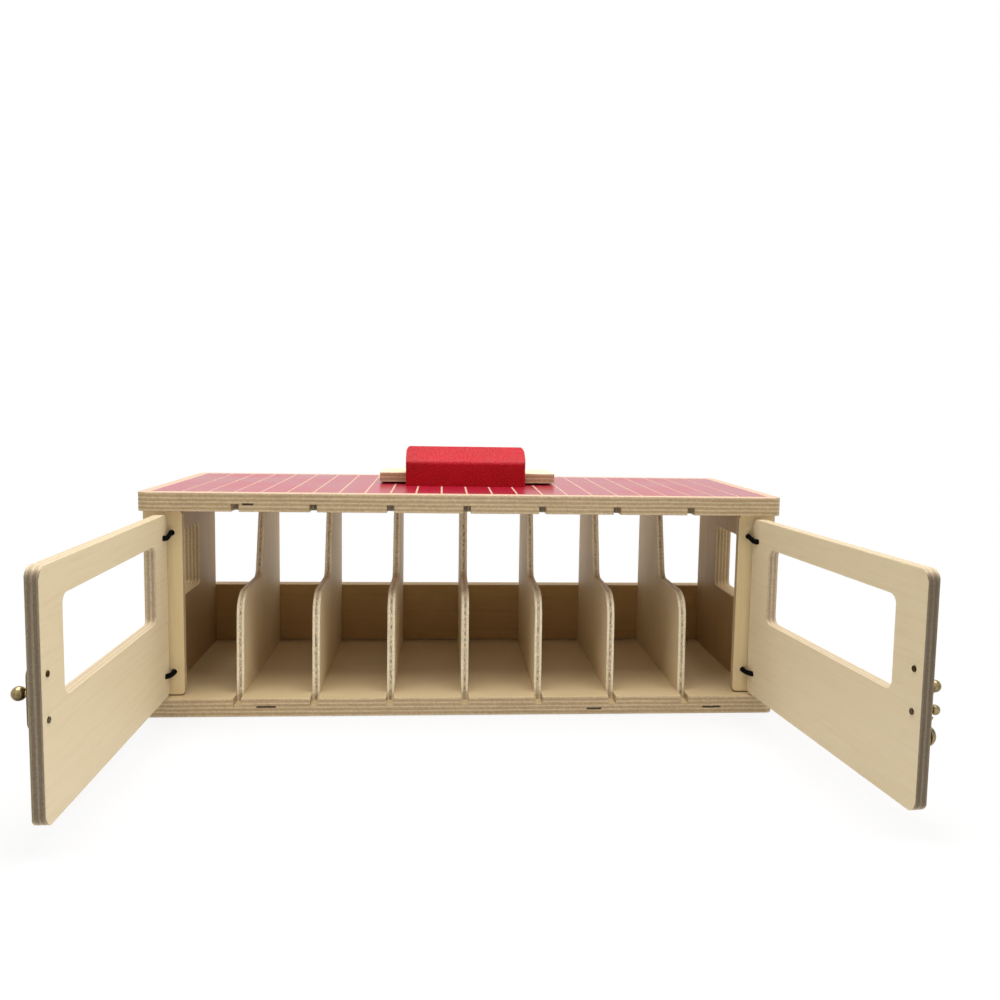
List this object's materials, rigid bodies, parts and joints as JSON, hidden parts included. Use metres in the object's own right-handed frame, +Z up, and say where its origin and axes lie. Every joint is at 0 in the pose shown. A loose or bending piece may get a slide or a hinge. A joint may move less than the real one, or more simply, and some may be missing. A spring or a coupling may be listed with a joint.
{
  "type": "toy stable box",
  "caption": "Plywood toy stable: open stalls behind two window doors hung on cords, red printed roof, red ridge block with a folding carry handle and a brass swing latch.",
  "frame": {"origin": "middle of the underside of the floor board", "axes": "+X along the box to the right as seen from the front, +Y from the front to the back, +Z up"},
  "size_m": [0.4234, 0.3364, 0.1688],
  "materials": {
    "birch_ply": "sanded, clear matt lacquer",
    "birch_ply_inner": "sanded, unfinished",
    "red_print": "screen-printed matt ink film",
    "red_paint": "satin paint",
    "brass": "polished cast brass",
    "black_cord": "flat woven cord",
    "steel": "plain"
  },
  "bodies": {
    "box": {"roof_board": "birch_ply", "roof_print": "red_print", "floor_board": "birch_ply", "side_wall_left": "birch_ply_inner", "side_wall_right": "birch_ply_inner", "back_wall": "birch_ply_inner", "divider_1": "birch_ply_inner", "divider_2": "birch_ply_inner", "divider_3": "birch_ply_inner", "divider_4": "birch_ply_inner", "divider_5": "birch_ply_inner", "divider_6": "birch_ply_inner", "divider_7": "birch_ply_inner", "front_post_left": "birch_ply", "front_post_right": "birch_ply", "board_dowels": "birch_ply_inner", "back_dowels": "birch_ply_inner", "hinge_cord_left_upper": "black_cord", "hinge_cord_left_lower": "black_cord", "hinge_cord_right_upper": "black_cord", "hinge_cord_right_lower": "black_cord", "ridge_block": "red_paint", "ridge_block_screws": "steel"},
    "left_door": {"door_left": "birch_ply", "keeper_plate": "brass", "keeper_knob": "brass", "keeper_screws": "brass"},
    "right_door": {"door_right": "birch_ply", "hook_plate": "brass", "hook_plate_screws": "brass", "hook_rivet": "brass"},
    "hook": {"hook_arm": "brass"},
    "handle": {"carry_handle": "birch_ply", "handle_rod": "steel"}
  },
  "joints": [
    {"name": "left_door_hinge", "type": "hinge", "parent": "box", "child": "left_door", "pos_m": [-0.18575, -0.0731, 0.0706], "axis": [0, 0, 1], "range_deg": [-15, 89.6], "deforming": ["hinge_cord_left_upper", "hinge_cord_left_lower"]},
    {"name": "right_door_hinge", "type": "hinge", "parent": "box", "child": "right_door", "pos_m": [0.18575, -0.0731, 0.0706], "axis": [0, 0, -1], "range_deg": [-9, 95.6], "deforming": ["hinge_cord_right_upper", "hinge_cord_right_lower"]},
    {"name": "latch_hook_pivot", "type": "hinge", "parent": "right_door", "child": "hook", "pos_m": [0.21158, -0.25043, 0.0722], "axis": [0.9952, 0.0976, 0], "range_deg": [-90, 90]},
    {"name": "carry_handle_pivot", "type": "hinge", "parent": "box", "child": "handle", "pos_m": [0.0009, -0.0018, 0.14675], "axis": [1, 0, 0], "range_deg": [0, 182]}
  ]
}
